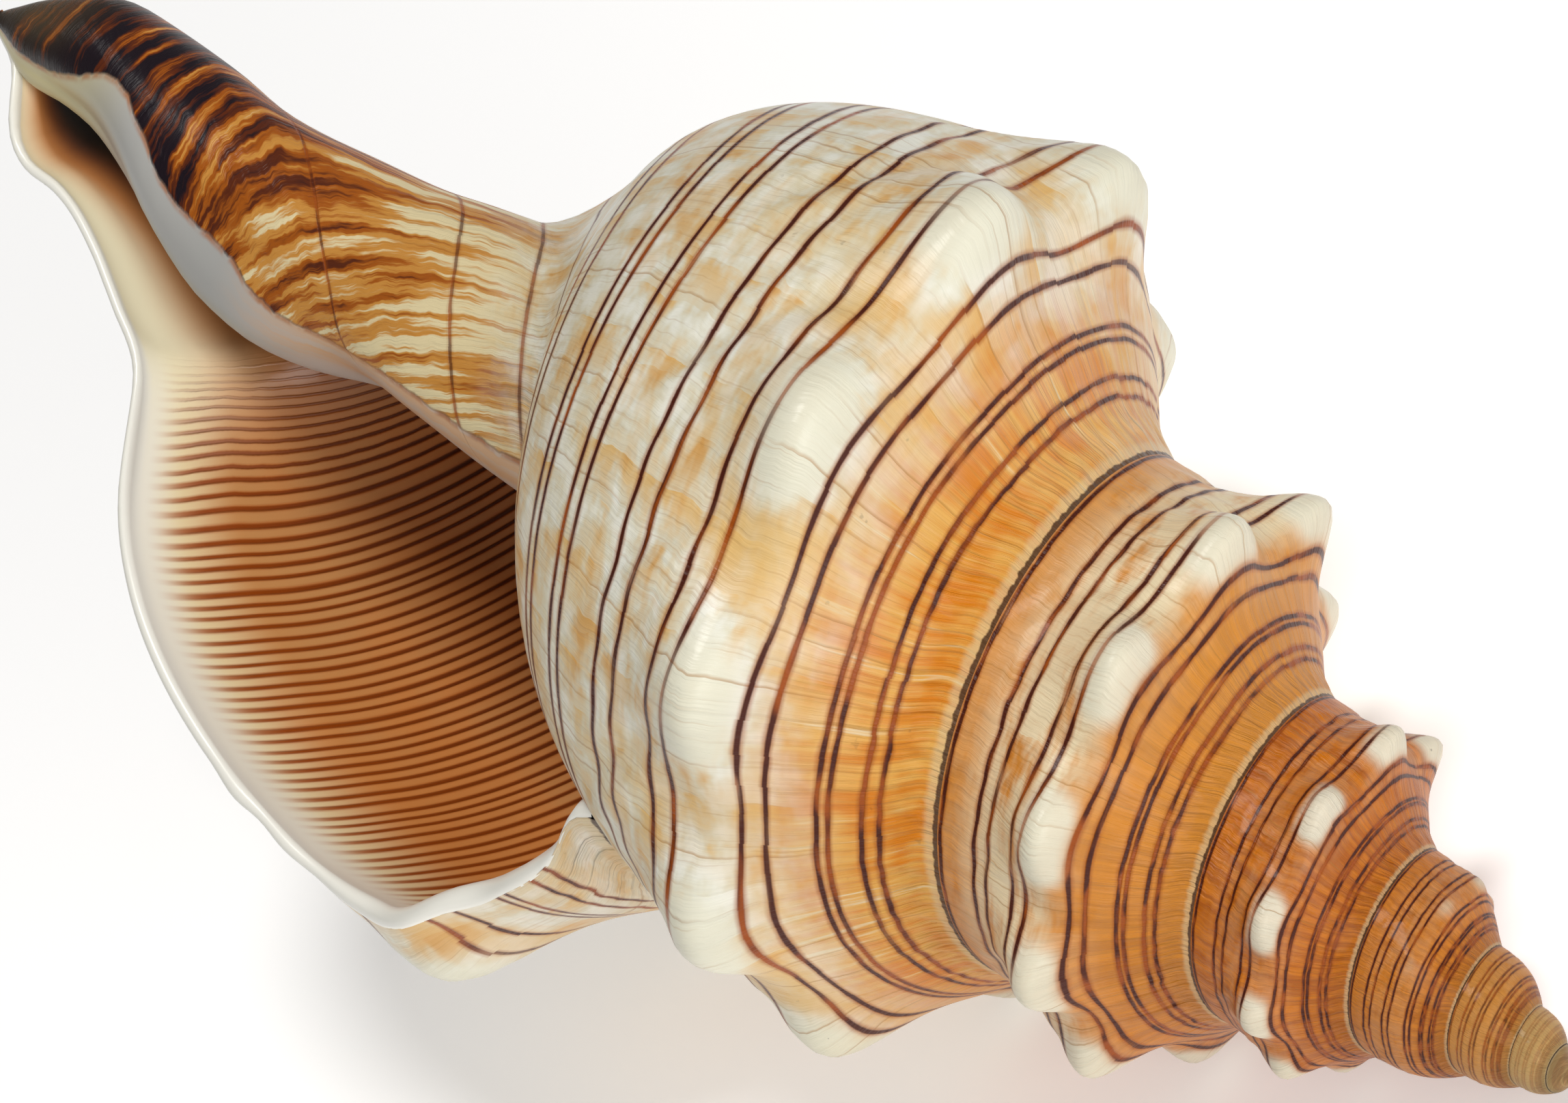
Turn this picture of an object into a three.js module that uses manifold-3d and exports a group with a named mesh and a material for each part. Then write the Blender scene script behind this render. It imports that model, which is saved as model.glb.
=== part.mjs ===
// Trapezium horse conch shell: one hollow, right-handed spiral shell, lying at rest on three of
// its knobs. Lengths are millimetres, and angles are degrees unless a name says otherwise.
import * as THREE from 'three';
import { mergeVertices } from 'three/addons/utils/BufferGeometryUtils.js';
import Module from 'manifold-3d';

// Growth. Every whorl is a scaled copy of the last one. A growth angle is 0 at the lip and falls
// by 360 with each whorl towards the apex. A level is a distance from the apex at the lip's scale.
const WHORL_RATIO = 1.618;
const WHORL_COUNT = 6.2;
const SUTURE_LEVEL = 79;
const SUTURE_RADIUS = 29.5;
const TIP_DEPTH = 182.2;
const APEX_DOME = 1.2;

// Outline of the last whorl between its knobs, as level and radius.
const WHORL_OUTLINE = [
  [SUTURE_LEVEL, SUTURE_RADIUS], [84, 32.2], [88.3, 36.6], [94.5, 42.9], [99, 47.3], [104, 48.5],
  [111, 48.3], [118, 47.1], [126, 44.9], [134, 41.4], [140.5, 36.9], [145.5, 31.2], [150, 22],
  [154, 15], [160, 7], [168, 0],
];
// Flatter outline of the oldest whorls, which have hardly any shoulder.
const SPIRE_OUTLINE = [
  [SUTURE_LEVEL, SUTURE_RADIUS], [88, 37], [98, 43], [110, 46.4],
  [SUTURE_LEVEL * WHORL_RATIO, SUTURE_RADIUS * WHORL_RATIO],
];

// Stem around the siphonal canal, as depth from the apex and radius: on the back, at the lip's
// canal edge, along the columella, and on the wall inside the aperture.
const STEM_BACK = [
  [100, 12.4], [120, 11.8], [126.8, 10.6], [133, 9.2], [140.6, 8.2], [147, 7.4], [152, 7.2],
  [158, 7.8], [167, 8], [171, 7.7], [174, 6.4], [178.4, 3.7], [181, 1.5], [TIP_DEPTH, 0],
];
const STEM_LIP = [
  [100, 9], [140, 14], [148, 17.5], [152, 17.5], [155, 16.2], [158, 14.4], [161, 12.6], [165, 10.7],
  [168, 9.9], [172, 9.6], [175, 7.8], [178, 3.2], [181, 1], [TIP_DEPTH, 0],
];
const STEM_COLUMELLA = [
  [80, 7.6], [111, 7.6], [121, 6.8], [128, 7.6], [135.5, 9.9], [141, 10.8], [146, 10.5], [150, 9.7],
  [156, 7.4], [160, 5.6], [166.4, 3.5], [171, 3], [176.4, 3], [TIP_DEPTH, 0],
];
const STEM_INSIDE = [[60, 7], [100, 7.6], [140, 8], [150, 8.8], [158, 10.5], [TIP_DEPTH, 12]];
const STEM_BLEND = 3;

// Knobs on the shoulder.
const KNOB_LEVEL = 101;
const KNOB_SPACING = 38.95;
const FIRST_KNOB = -18;
const KNOB_COUNT = 36;
const KNOB_DRIFT = 5;
const LIP_KNOB_SHIFT = 8;
const LIP_KNOB_SIZE = 0.75;
const KNOB_HEIGHT = 5.6;
const KNOB_LEAN = 1.2;
const KNOB_REACH_UP = 5.2;
const KNOB_REACH_DOWN = 8;

// Lip and hollow. The lip's edge sweeps forward along the ramp to the suture, as growth angle and
// level.
const LIP_SWEEP = [[-14, 99], [0, 99], [4.5, 95.5], [8, 89.9], [15, 84.9], [28, 80.7]];
const SWEEP_ROOT = 77.5;
const LIP_TAPER = 0.06;
const SUTURE_DRAW = 2;
const WALL = 2.3;
const STEM_WALL = 1.7;
const CALLUS = 0.5;
const HOLLOW_TURN = 1040;
const MOUTH_OVERRUN = 4;

// Mesh steps.
const STEPS_PER_WHORL = 48;
const SPIRE_ROWS = 9;
const BASE_ROWS = 7;
const STEM_ROWS = 7;
const SWEEP_ROWS = 4;
const SWEEP_STEPS = 8;
const HOLLOW_STEP = 15;
const HOLLOW_ROWS = 9;

// Resting pose: roll about the shell's axis, then its apex tipped down to the floor. The knobs
// that touch the floor are worn flat.
const ROLL = 23.3;
const PITCH = 25.1;
const KNOB_WEAR = 0.4;

const clamp = (x, low, high) => Math.min(high, Math.max(low, x));
const mix = (a, b, f) => a + (b - a) * f;

function smoothstep(low, high, x) {
  const f = clamp((x - low) / (high - low), 0, 1);
  return f * f * (3 - 2 * f);
}

function smoothMax(a, b, width) {
  const f = clamp(0.5 + (a - b) / (2 * width), 0, 1);
  return mix(b, a, f) + width * f * (1 - f);
}

// Smooth curve through the points of an outline, held level past its ends.
function alongOutline(points, x) {
  const last = points.length - 1;
  if (x <= points[0][0]) return points[0][1];
  if (x >= points[last][0]) return points[last][1];
  let i = 0;
  while (x > points[i + 1][0]) i += 1;
  const slope = (j) => {
    const before = points[Math.max(j - 1, 0)];
    const after = points[Math.min(j + 1, last)];
    return (after[1] - before[1]) / (after[0] - before[0]);
  };
  const [x0, y0] = points[i];
  const [x1, y1] = points[i + 1];
  const width = x1 - x0;
  const f = (x - x0) / width;
  const rise = f * f * (3 - 2 * f);
  const bend = f * (1 - f) * width;
  return mix(y0, y1, rise) + bend * ((1 - f) * slope(i) - f * slope(i + 1));
}

const scaleAt = (growth) => WHORL_RATIO ** (growth / 360);

// Growth angle of a knob, counted back from the lip. The spacing drifts a little.
function knobGrowth(count) {
  const drift = count < 4 ? 0 : KNOB_DRIFT * Math.sin((Math.PI / 6) * (count - 4.5));
  const shift = LIP_KNOB_SHIFT * (1 - smoothstep(2.5, 4, count));
  return FIRST_KNOB - KNOB_SPACING * count + drift + shift;
}

// 1 on the top of a knob, 0 halfway between two knobs and away from the shoulder.
function knobAt(growth, level) {
  const guess = Math.round((FIRST_KNOB - growth) / KNOB_SPACING);
  const counts = [guess - 1, guess, guess + 1].map((c) => clamp(c, 0, KNOB_COUNT));
  const offset = Math.min(...counts.map((c) => Math.abs(knobGrowth(c) - growth))) / KNOB_SPACING;
  const plain = Math.cos(Math.PI * Math.min(offset, 0.5)) ** 2;
  const around = mix(plain, LIP_KNOB_SIZE * plain ** 1.5, smoothstep(-32, -26, growth));
  const reach = level < KNOB_LEVEL ? KNOB_REACH_UP : KNOB_REACH_DOWN;
  return around * Math.exp(-(((level - KNOB_LEVEL) / reach) ** 2));
}

// Radius of the smooth whorl at the lip's scale.
function whorlRadius(growth, level) {
  const old = 1 - smoothstep(-1500, -800, growth);
  const plain = mix(alongOutline(WHORL_OUTLINE, level), alongOutline(SPIRE_OUTLINE, level), old);
  const taper = 1 - LIP_TAPER * smoothstep(-150, 0, growth) * smoothstep(SUTURE_LEVEL, 95, level);
  const spire = 1 - smoothstep(-480, -380, growth);
  const straight = SUTURE_RADIUS * WHORL_RATIO;
  const wall = level > straight * 3 ? 0 : spire * smoothstep(116, 121, level);
  const seam = SUTURE_DRAW * smoothstep(-120, -20, growth) * (1 - smoothstep(SUTURE_LEVEL, 87, level));
  return mix(plain * taper - seam, straight, wall);
}

function stemRadius(growth, depth) {
  const back = alongOutline(STEM_BACK, depth);
  const lip = alongOutline(STEM_LIP, depth);
  const columella = alongOutline(STEM_COLUMELLA, depth);
  const inside = alongOutline(STEM_INSIDE, depth);
  const outer = mix(back, lip, smoothstep(-150, 0, growth));
  const forward = smoothstep(150, 168, depth);
  const front = mix(outer, columella, smoothstep(60 * forward - 290, 40 * forward - 350, growth));
  return mix(front, inside, smoothstep(-380, -480, growth));
}

// Radius of the shell without its knobs, at a depth from the apex.
function bodyRadius(growth, depth) {
  const scale = scaleAt(growth);
  const whorl = scale * whorlRadius(growth, depth / scale);
  return smoothMax(whorl, stemRadius(growth, depth), STEM_BLEND);
}

function toPoint(growth, radius, depth) {
  const turn = THREE.MathUtils.degToRad(-growth);
  return [radius * Math.cos(turn), radius * Math.sin(turn), -depth];
}

// Point on the outside of a whorl.
function whorlPoint(growth, level) {
  const scale = scaleAt(growth);
  const young = smoothstep(-1500, -900, growth);
  const spire = 1 - smoothstep(-480, -380, growth);
  const knob = knobAt(growth, level) * young;
  const depth = scale * (level - KNOB_LEAN * knob);
  const plain = growth < -360 ? scale * whorlRadius(growth, level)
    : bodyRadius(growth, scale * level);
  return toPoint(growth, plain + scale * KNOB_HEIGHT * (1 + 0.35 * spire) * knob, depth);
}

// Point on the base or the stem of the last whorl, by row below the whorl's straight part.
function basePoint(growth, row) {
  const scale = scaleAt(growth);
  const start = scale * SUTURE_LEVEL * WHORL_RATIO;
  const neck = scale * 160;
  const depth = row <= BASE_ROWS ? mix(start, neck, row / BASE_ROWS)
    : mix(neck, TIP_DEPTH, Math.sin((Math.PI / 2) * ((row - BASE_ROWS) / STEM_ROWS)));
  return toPoint(growth, bodyRadius(growth, depth), depth);
}

// Levels of the rows between two sutures, closer together on the shoulder.
function spireLevel(row) {
  const f = row / SPIRE_ROWS;
  const even = mix(SUTURE_LEVEL, SUTURE_LEVEL * WHORL_RATIO, f);
  return even - 6 * Math.sin(2 * Math.PI * f) * 0.5;
}

// Closed outside of the shell with a flat step where the last whorl ends.
function outsideMesh() {
  const points = [];
  const triangles = [];
  const columns = Math.round(WHORL_COUNT * STEPS_PER_WHORL);
  const lastWhorl = columns - STEPS_PER_WHORL;
  const lowRows = BASE_ROWS + STEM_ROWS;
  const add = (p) => points.push(p) - 1;
  const quad = (a, b, c, d) => triangles.push([a, b, c], [a, c, d]);
  const growthAt = (i) => ((i - columns) * 360) / STEPS_PER_WHORL;
  const grid = [];
  for (let i = 0; i <= columns; i += 1) {
    grid.push([]);
    for (let row = 0; row < SPIRE_ROWS; row += 1) {
      grid[i].push(add(whorlPoint(growthAt(i), spireLevel(row))));
    }
  }
  const tip = add(toPoint(0, 0, TIP_DEPTH));
  for (let i = 0; i <= columns; i += 1) {
    const joins = i <= lastWhorl;
    grid[i].push(joins ? grid[i + STEPS_PER_WHORL][0] : add(basePoint(growthAt(i), 0)));
    if (i < lastWhorl) continue;
    for (let row = 1; row < lowRows; row += 1) grid[i].push(add(basePoint(growthAt(i), row)));
    grid[i].push(tip);
  }
  for (let i = 0; i < columns; i += 1) {
    const rows = i < lastWhorl ? SPIRE_ROWS : SPIRE_ROWS + lowRows;
    for (let row = 0; row < rows; row += 1) {
      if (row === rows - 1 && rows > SPIRE_ROWS) {
        triangles.push([grid[i][row], grid[i + 1][row], tip]);
      } else {
        quad(grid[i][row], grid[i + 1][row], grid[i + 1][row + 1], grid[i][row + 1]);
      }
    }
  }
  addApex(grid, points, triangles);
  addStep(grid[columns], grid[lastWhorl], points, triangles);
  return { points, triangles };
}

// Cap over the first whorl.
function addApex(grid, points, triangles) {
  const top = points.push([0, 0, points[grid[0][0]][2] + APEX_DOME]) - 1;
  const rim = [];
  for (let i = 0; i <= STEPS_PER_WHORL; i += 1) rim.push(grid[i][0]);
  for (let row = SPIRE_ROWS - 1; row > 0; row -= 1) rim.push(grid[0][row]);
  rim.forEach((v, i) => triangles.push([top, rim[(i + 1) % rim.length], v]));
}

// Flat face between the last profile and the profile one whorl earlier.
function addStep(lipColumn, oldColumn, points, triangles) {
  const ring = [...lipColumn, ...oldColumn.slice(SPIRE_ROWS + 1, -1).reverse()];
  const flat = ring.map((v) => new THREE.Vector2(points[v][0], points[v][2]));
  THREE.ShapeUtils.triangulateShape(flat, []).forEach(([a, b, c]) => {
    triangles.push([ring[a], ring[b], ring[c]]);
  });
}

// Radius of the wall's inner face, a wall's thickness away from every part of the outside.
function insideRadius(growth, depth, wall) {
  const reach = [-1, -0.85, -0.5, 0, 0.5, 0.85, 1];
  const limits = reach.map((f) => bodyRadius(growth, depth + f * wall) - wall * Math.sqrt(1 - f * f));
  return Math.min(...limits);
}

// Depth at which the hollow closes, searched from its middle in one direction.
function hollowEnd(gap, start, step) {
  let depth = start;
  while (gap(depth + step) > 0.3 && depth < TIP_DEPTH) depth += step;
  return depth;
}

// Ring of points around the hollow: down its outer wall and back up beside the columella.
function hollowRing(growth) {
  const scale = scaleAt(growth);
  const wallAt = (d) => mix(WALL * scale, STEM_WALL, smoothstep(140, 156, d / scale));
  const outer = (d) => insideRadius(growth, d, wallAt(d));
  const inner = (d) => bodyRadius(growth - 360, d) + CALLUS;
  const gap = (d) => outer(d) - inner(d);
  const top = hollowEnd(gap, scale * 110, -0.25);
  const bottom = hollowEnd(gap, scale * 110, 0.25);
  const depthAt = (row) => mix(top, bottom, (1 - Math.cos((Math.PI * row) / HOLLOW_ROWS)) / 2);
  const ring = [];
  for (let row = 0; row <= HOLLOW_ROWS; row += 1) {
    ring.push(toPoint(growth, outer(depthAt(row)), depthAt(row)));
  }
  for (let row = HOLLOW_ROWS - 1; row > 0; row -= 1) {
    ring.push(toPoint(growth, inner(depthAt(row)), depthAt(row)));
  }
  return ring;
}

// Sides and ends of a tube through rings of points.
function addTube(points, triangles, size, steps) {
  for (let i = 0; i < steps; i += 1) {
    for (let j = 0; j < size; j += 1) {
      const a = i * size + j;
      const b = i * size + ((j + 1) % size);
      triangles.push([a, a + size, b + size], [a, b + size, b]);
    }
  }
  const cap = (first) => {
    const flat = points.slice(first, first + size);
    const shape = flat.map(([x, y, z]) => new THREE.Vector2(Math.hypot(x, y), z));
    return THREE.ShapeUtils.triangulateShape(shape, []).map((t) => t.map((v) => v + first));
  };
  triangles.push(...cap(0).map(([a, b, c]) => [a, c, b]), ...cap(steps * size));
}

// Closed tube that fills the hollow and runs out through the mouth.
function hollowMesh() {
  const points = [];
  const triangles = [];
  const size = 2 * HOLLOW_ROWS;
  const steps = Math.round((HOLLOW_TURN + MOUTH_OVERRUN) / HOLLOW_STEP);
  for (let i = 0; i <= steps; i += 1) {
    points.push(...hollowRing(mix(-HOLLOW_TURN, MOUTH_OVERRUN, i / steps)));
  }
  addTube(points, triangles, size, steps);
  return { points, triangles };
}

// Ring of points around the part of the lip that sweeps forward, a little under the outside.
function sweepRing(growth) {
  const top = alongOutline(LIP_SWEEP, growth);
  const outer = [];
  const inner = [];
  for (let row = 0; row <= SWEEP_ROWS; row += 1) {
    const level = mix(SWEEP_ROOT, top, row / SWEEP_ROWS);
    const scale = scaleAt(growth);
    const radius = scale * whorlRadius(growth, level) - 0.05;
    const drop = WALL * Math.SQRT1_2;
    outer.push(toPoint(growth, radius, scale * level));
    inner.unshift(toPoint(growth, radius - drop, scale * level + drop));
  }
  return [...outer, ...inner];
}

// Closed strip of the lip that runs forward from the last profile along the suture.
function sweepMesh() {
  const points = [];
  const triangles = [];
  const size = 2 * (SWEEP_ROWS + 1);
  const start = LIP_SWEEP[0][0];
  const end = LIP_SWEEP[LIP_SWEEP.length - 1][0];
  for (let i = 0; i <= SWEEP_STEPS; i += 1) points.push(...sweepRing(mix(start, end, i / SWEEP_STEPS)));
  addTube(points, triangles, size, SWEEP_STEPS);
  return { points, triangles };
}

const library = await Module();
library.setup();

function toGeometry(positions, index) {
  const geometry = new THREE.BufferGeometry();
  geometry.setAttribute('position', new THREE.BufferAttribute(new Float32Array(positions), 3));
  geometry.setIndex(new THREE.BufferAttribute(new Uint32Array(index), 1));
  return geometry;
}

function toSolid(geometry) {
  return new library.Manifold(new library.Mesh({
    numProp: 3,
    vertProperties: new Float32Array(geometry.attributes.position.array),
    triVerts: new Uint32Array(geometry.index.array),
  }));
}

// Turn from the growing frame, apex up, to the resting pose, apex towards +X.
function layDown({ points, triangles }) {
  const geometry = toGeometry(points.flat(), triangles.flat());
  const lying = new THREE.Matrix4().makeBasis(
    new THREE.Vector3(0, -1, 0), new THREE.Vector3(0, 0, -1), new THREE.Vector3(1, 0, 0));
  geometry.applyMatrix4(lying);
  geometry.rotateX(THREE.MathUtils.degToRad(ROLL));
  geometry.rotateY(THREE.MathUtils.degToRad(PITCH));
  geometry.computeBoundingBox();
  return geometry;
}

// Block under the floor, which takes the worn flats off the knobs.
function floorBlock() {
  const size = 2 * TIP_DEPTH;
  const block = new THREE.BoxGeometry(size, size, size).translate(0, 0, -size / 2);
  block.deleteAttribute('normal');
  block.deleteAttribute('uv');
  return mergeVertices(block);
}

function shell() {
  const outside = layDown(outsideMesh());
  const hollow = layDown(hollowMesh());
  const sweep = layDown(sweepMesh());
  const { min, max } = outside.boundingBox;
  const shift = [-(min.x + max.x) / 2, -(min.y + max.y) / 2, -min.z - KNOB_WEAR];
  outside.translate(...shift);
  hollow.translate(...shift);
  sweep.translate(...shift);
  const grown = toSolid(outside).subtract(toSolid(hollow)).add(toSolid(sweep));
  const solid = grown.subtract(toSolid(floorBlock()));
  const { vertProperties, triVerts } = solid.getMesh();
  const geometry = toGeometry(vertProperties, triVerts);
  geometry.computeVertexNormals();
  const material = new THREE.MeshStandardMaterial({ color: 0xe8d3b0, roughness: 0.35, metalness: 0 });
  const mesh = new THREE.Mesh(geometry, material);
  mesh.name = 'shell';
  return mesh;
}

const object = new THREE.Group();
object.add(shell());
export default object;
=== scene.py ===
"""Trapezium horse conch shell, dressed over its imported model. Lengths are millimetres in the
growing formulas and metres in the meshes."""

import bpy
import numpy as np
from mathutils import Matrix, Vector


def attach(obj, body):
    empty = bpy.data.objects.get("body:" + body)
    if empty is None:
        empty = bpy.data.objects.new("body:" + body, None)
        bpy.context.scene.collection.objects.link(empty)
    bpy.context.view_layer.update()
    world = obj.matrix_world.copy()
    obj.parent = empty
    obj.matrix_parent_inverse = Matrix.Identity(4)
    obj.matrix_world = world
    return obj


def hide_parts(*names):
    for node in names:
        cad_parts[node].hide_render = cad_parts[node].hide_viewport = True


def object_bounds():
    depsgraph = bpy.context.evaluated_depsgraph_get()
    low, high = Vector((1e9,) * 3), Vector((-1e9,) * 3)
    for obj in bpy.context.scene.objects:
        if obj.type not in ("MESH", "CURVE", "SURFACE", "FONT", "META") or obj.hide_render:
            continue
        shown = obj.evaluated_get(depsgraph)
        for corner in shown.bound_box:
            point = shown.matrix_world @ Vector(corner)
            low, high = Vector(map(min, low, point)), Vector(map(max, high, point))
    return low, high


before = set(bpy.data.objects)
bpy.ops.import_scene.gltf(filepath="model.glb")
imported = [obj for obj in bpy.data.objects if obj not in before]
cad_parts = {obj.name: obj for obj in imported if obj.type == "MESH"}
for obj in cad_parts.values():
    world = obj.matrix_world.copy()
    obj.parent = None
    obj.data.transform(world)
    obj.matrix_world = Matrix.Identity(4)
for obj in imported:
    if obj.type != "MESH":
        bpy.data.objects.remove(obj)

CAD_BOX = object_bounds()

# Growth, repeated from the part's source. A growth angle is 0 at the lip and falls by 360 with
# each whorl. A level is a distance from the apex at the lip's scale.
WHORL_RATIO = 1.618
WHORL_COUNT = 6.2
SUTURE_LEVEL = 79.0
SUTURE_RADIUS = 29.5
TIP_DEPTH = 182.2
APEX_DOME = 1.2
LAST_LEVEL = SUTURE_LEVEL * WHORL_RATIO

# Radius of a whorl by level
WHORL_OUTLINE = (
    (79, 29.5), (84, 32.2), (88.3, 36.6), (94.5, 42.9), (99, 47.3), (104, 48.5), (111, 48.3),
    (118, 47.1), (126, 44.9), (134, 41.4), (140.5, 36.9), (145.5, 31.2), (150, 22), (154, 15),
    (160, 7), (168, 0),
)
SPIRE_OUTLINE = (
    (79, 29.5), (88, 37), (98, 43), (110, 46.4), (LAST_LEVEL, SUTURE_RADIUS * WHORL_RATIO),
)

# Radius of the stem by depth
STEM_BACK = (
    (100, 12.4), (120, 11.8), (126.8, 10.6), (133, 9.2), (140.6, 8.2), (147, 7.4), (152, 7.2),
    (158, 7.8), (167, 8), (171, 7.7), (174, 6.4), (178.4, 3.7), (181, 1.5), (182.2, 0),
)
STEM_LIP = (
    (100, 9), (140, 14), (148, 17.5), (152, 17.5), (155, 16.2), (158, 14.4), (161, 12.6),
    (165, 10.7), (168, 9.9), (172, 9.6), (175, 7.8), (178, 3.2), (181, 1), (182.2, 0),
)
STEM_COLUMELLA = (
    (80, 7.6), (111, 7.6), (121, 6.8), (128, 7.6), (135.5, 9.9), (141, 10.8), (146, 10.5),
    (150, 9.7), (156, 7.4), (160, 5.6), (166.4, 3.5), (171, 3), (176.4, 3), (182.2, 0),
)
STEM_INSIDE = ((60, 7), (100, 7.6), (140, 8), (150, 8.8), (158, 10.5), (182.2, 12))
STEM_BLEND = 3.0
COLUMELLA_DEPTHS = (150, 168)
COLUMELLA_TURN = (-350, -290)
COLUMELLA_FORWARD = (40, 60)

# Knobs are counted from the lip. The first few sit evenly, and the others drift.
KNOB_LEVEL = 101.0
KNOB_SPACING = 38.95
FIRST_KNOB = -18.0
FIRST_KNOB_EDGE = (-32, -26)
KNOB_COUNT = 36
KNOB_DRIFT = 5.0
EVEN_KNOBS = 4
DRIFT_START = 4.5
LIP_KNOBS = (2.5, 4)
LIP_KNOB_SHIFT = 8.0
LIP_KNOB_SIZE = 0.75
LIP_KNOB_SHARPNESS = 1.5
KNOB_HEIGHT = 5.6
SPIRE_KNOB_GAIN = 0.35
KNOB_LEAN = 1.2
KNOB_SHARPNESS = 1.25
KNOB_REACH_UP = 5.2
KNOB_REACH_DOWN = 8.0
VALLEY_DEPTH = 0.9

# Low relief. Each wave has a height, a rate and a start.
WRINKLE_WAVES = ((1, 1.31, 0), (0.8, 0.87, 1), (0.7, 0.43, 2))
WRINKLE_HEIGHT = 0.22
WRINKLE_LEVELS = ((SUTURE_LEVEL + 0.3, 81.5), (82, 90))
BASE_FOLD = 0.45
BASE_FOLD_LEVELS = ((102, 108), (118, 127))
BASE_FOLD_RATE = 0.45
BASE_FOLD_SLANT = 0.6

# Growth angles over which one form turns into the next
LIP_REACH = (-45, 0)
LIP_FORM = (-150, 0)
SEAM_FORM = (-120, -20)
SPIRE_FORM = (-480, -380)
KNOB_FADE = (-1500, -900)
OLD_FORM = (-1500, -800)

LIP_TAPER = 0.06
LIP_TAPER_END = 95
SUTURE_DRAW = 2.0
SUTURE_DRAW_END = 87
# Levels where a whorl of the spire goes straight down under the next one
UNDER_LEVELS = (116, 121)
UNDER_END = 3

WALL = 2.3
STEM_WALL = 1.7
STEM_WALL_LEVELS = (140, 156)
WALL_PROBES = (-1, -0.85, -0.5, 0, 0.5, 0.85, 1)

# Resting pose
ROLL = 23.3
PITCH = 25.1
REST_SHIFT = (84.3846, 1.1991, 2.0058)
EASE = 1.6
FLOOR_GAP = 0.02

# Age of the surface, along the growth lines
CANAL_LAG = 65
OLD_SWEEP = 0.35
SWEEP_FORM = (-60, 0)
STEM_TURN = -200
STEM_START = 108
STEM_SLANT = 0.024
TURN_EASE = 15
START_EASE = 4
AGE_EASE = 30
STRETCH_PROBE = 0.3

# Growth angle of the lip's edge at each level: it sweeps forward along the ramp to the suture.
LIP_EDGE = (
    (79, 29), (80.7, 27.7), (84.9, 15), (89.9, 8), (92.2, 5.6), (95.5, 4.5), (99, 2.5), (104, 0),
    (120, 0),
)
# Growth angle of the callus border, by depth.
CALLUS_EDGE = (
    (80, -330), (85, -322), (88, -317), (95, -300), (98, -292), (104, -292), (111, -295),
    (116, -296), (123, -298), (133, -312), (137.5, -316), (141, -313), (144, -306), (148, -304),
    (152, -300), (155, -287), (157, -273), (159, -265), (161, -256), (164, -252), (168, -266),
    (173, -282), (TIP_DEPTH, -290),
)


def mix(a, b, f):
    return a + (b - a) * f


def smoothstep(low, high, x):
    f = np.clip((x - low) / (high - low), 0, 1)
    return f * f * (3 - 2 * f)


def between(rise, fall, x):
    """1 between two ranges, rising over the first and falling over the second."""
    return smoothstep(*rise, x) * (1 - smoothstep(*fall, x))


def smooth_max(a, b, width):
    f = np.clip(0.5 + (a - b) / (2 * width), 0, 1)
    return mix(b, a, f) + width * f * (1 - f)


def along(points, x):
    """Smooth curve through an outline's points, held level past its ends."""
    xs, ys = np.array(points, float).T
    order = np.arange(len(xs))
    before = np.maximum(order - 1, 0)
    after = np.minimum(order + 1, len(xs) - 1)
    slope = (ys[after] - ys[before]) / (xs[after] - xs[before])
    i = np.clip(np.searchsorted(xs, x, side="right") - 1, 0, len(xs) - 2)
    width = xs[i + 1] - xs[i]
    f = np.clip((x - xs[i]) / width, 0, 1)
    bend = f * (1 - f) * width
    rise = mix(ys[i], ys[i + 1], f * f * (3 - 2 * f))
    return rise + bend * ((1 - f) * slope[i] - f * slope[i + 1])


def scale_at(growth):
    return WHORL_RATIO ** (growth / 360)


def on_spire(growth):
    return 1 - smoothstep(*SPIRE_FORM, growth)


def knob_growth(count):
    """Growth angle of a knob."""
    drift = KNOB_DRIFT * np.sin(np.pi / 6 * (count - DRIFT_START))
    drift = np.where(count < EVEN_KNOBS, 0, drift)
    shift = LIP_KNOB_SHIFT * (1 - smoothstep(*LIP_KNOBS, count))
    return FIRST_KNOB - KNOB_SPACING * count + drift + shift


def knob_at(growth, level):
    """1 on the top of a knob, and then 1 in the valley between two knobs."""
    guess = np.round((FIRST_KNOB - growth) / KNOB_SPACING)
    near = [np.abs(knob_growth(np.clip(guess + k, 0, KNOB_COUNT)) - growth) for k in (-1, 0, 1)]
    offset = np.minimum.reduce(near) / KNOB_SPACING
    around = np.cos(np.pi * np.minimum(offset, 0.5)) ** 2
    first = smoothstep(*FIRST_KNOB_EDGE, growth)
    around = mix(around, LIP_KNOB_SIZE * around ** LIP_KNOB_SHARPNESS, first)
    reach = np.where(level < KNOB_LEVEL, KNOB_REACH_UP, KNOB_REACH_DOWN)
    bell = np.exp(-(((level - KNOB_LEVEL) / reach) ** 2))
    return around ** KNOB_SHARPNESS * bell, (1 - around) * bell


def whorl_radius(growth, level):
    old = 1 - smoothstep(*OLD_FORM, growth)
    plain = mix(along(WHORL_OUTLINE, level), along(SPIRE_OUTLINE, level), old)
    tapered = smoothstep(*LIP_FORM, growth)
    taper = 1 - LIP_TAPER * tapered * smoothstep(SUTURE_LEVEL, LIP_TAPER_END, level)
    straight = SUTURE_RADIUS * WHORL_RATIO
    under = on_spire(growth) * smoothstep(*UNDER_LEVELS, level)
    under = np.where(level > straight * UNDER_END, 0, under)
    drawn = SUTURE_DRAW * smoothstep(*SEAM_FORM, growth)
    seam = drawn * (1 - smoothstep(SUTURE_LEVEL, SUTURE_DRAW_END, level))
    return mix(plain * taper - seam, straight, under)


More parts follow.
